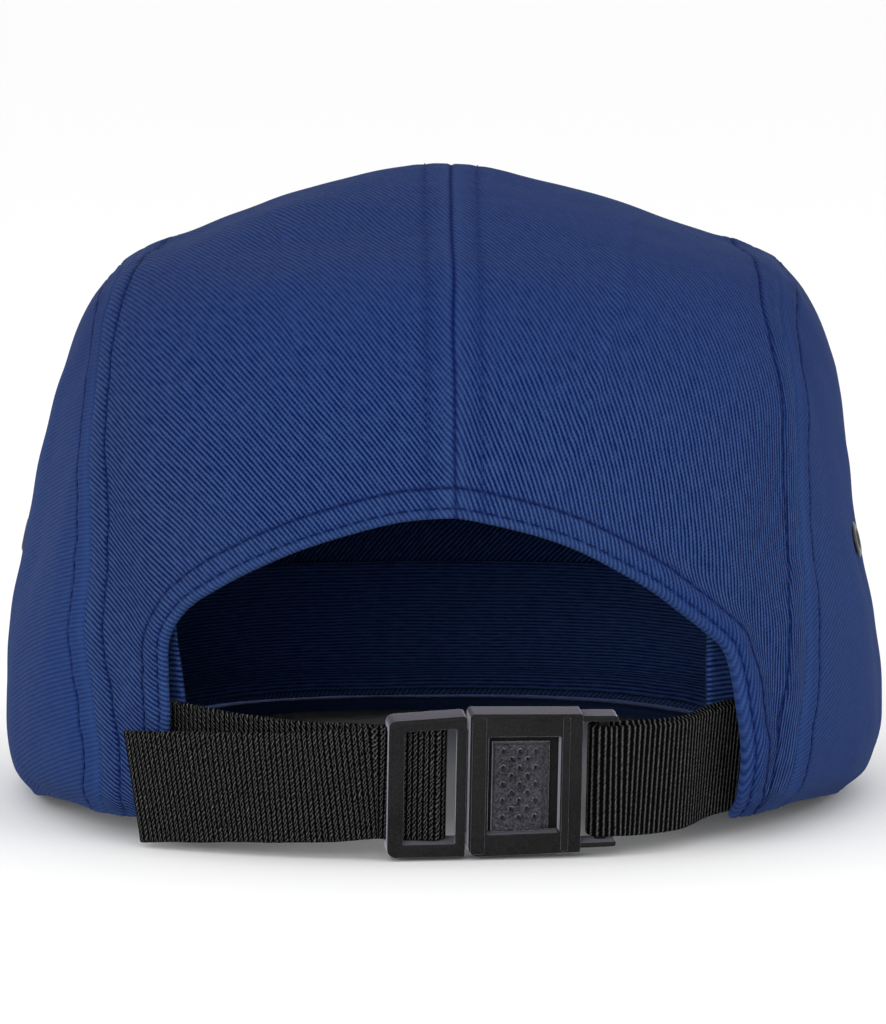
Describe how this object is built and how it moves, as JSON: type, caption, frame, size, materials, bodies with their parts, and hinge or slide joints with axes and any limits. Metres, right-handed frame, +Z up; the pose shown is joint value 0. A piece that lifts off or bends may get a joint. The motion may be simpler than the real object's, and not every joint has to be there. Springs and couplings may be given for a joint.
{
  "type": "jockey cap",
  "caption": "Low panelled jockey cap in blue cotton twill with a short peak, vent eyelets and an arched back opening closed by a black webbing strap and clip",
  "frame": {"origin": "middle of the bounding box on the plane the cap rests on", "axes": "+Z up through the crown, +Y forward out of the peak, -Y out of the back strap, +X to the wearer's right"},
  "size_m": [0.1784, 0.2648, 0.1276],
  "materials": {
    "twill": "woven cotton twill, matt",
    "band_twill": "woven cotton twill with quilting rows, matt",
    "eyelet_metal": "black enamel, satin",
    "webbing": "ribbed polypropylene webbing, matt",
    "buckle_plastic": "moulded acetal, satin",
    "button_plastic": "moulded acetal with a dimpled grip, matt"
  },
  "bodies": {
    "root": {"front_panel": "twill", "side_panel_left": "twill", "side_panel_right": "twill", "top_panel_left": "twill", "top_panel_right": "twill", "peak": "twill", "sweatband": "band_twill", "eyelet_left": "eyelet_metal", "eyelet_right": "eyelet_metal", "strap_left": "webbing", "strap_right": "webbing", "buckle_left": "buckle_plastic", "buckle_right": "buckle_plastic", "release_button": "button_plastic"}
  },
  "joints": []
}
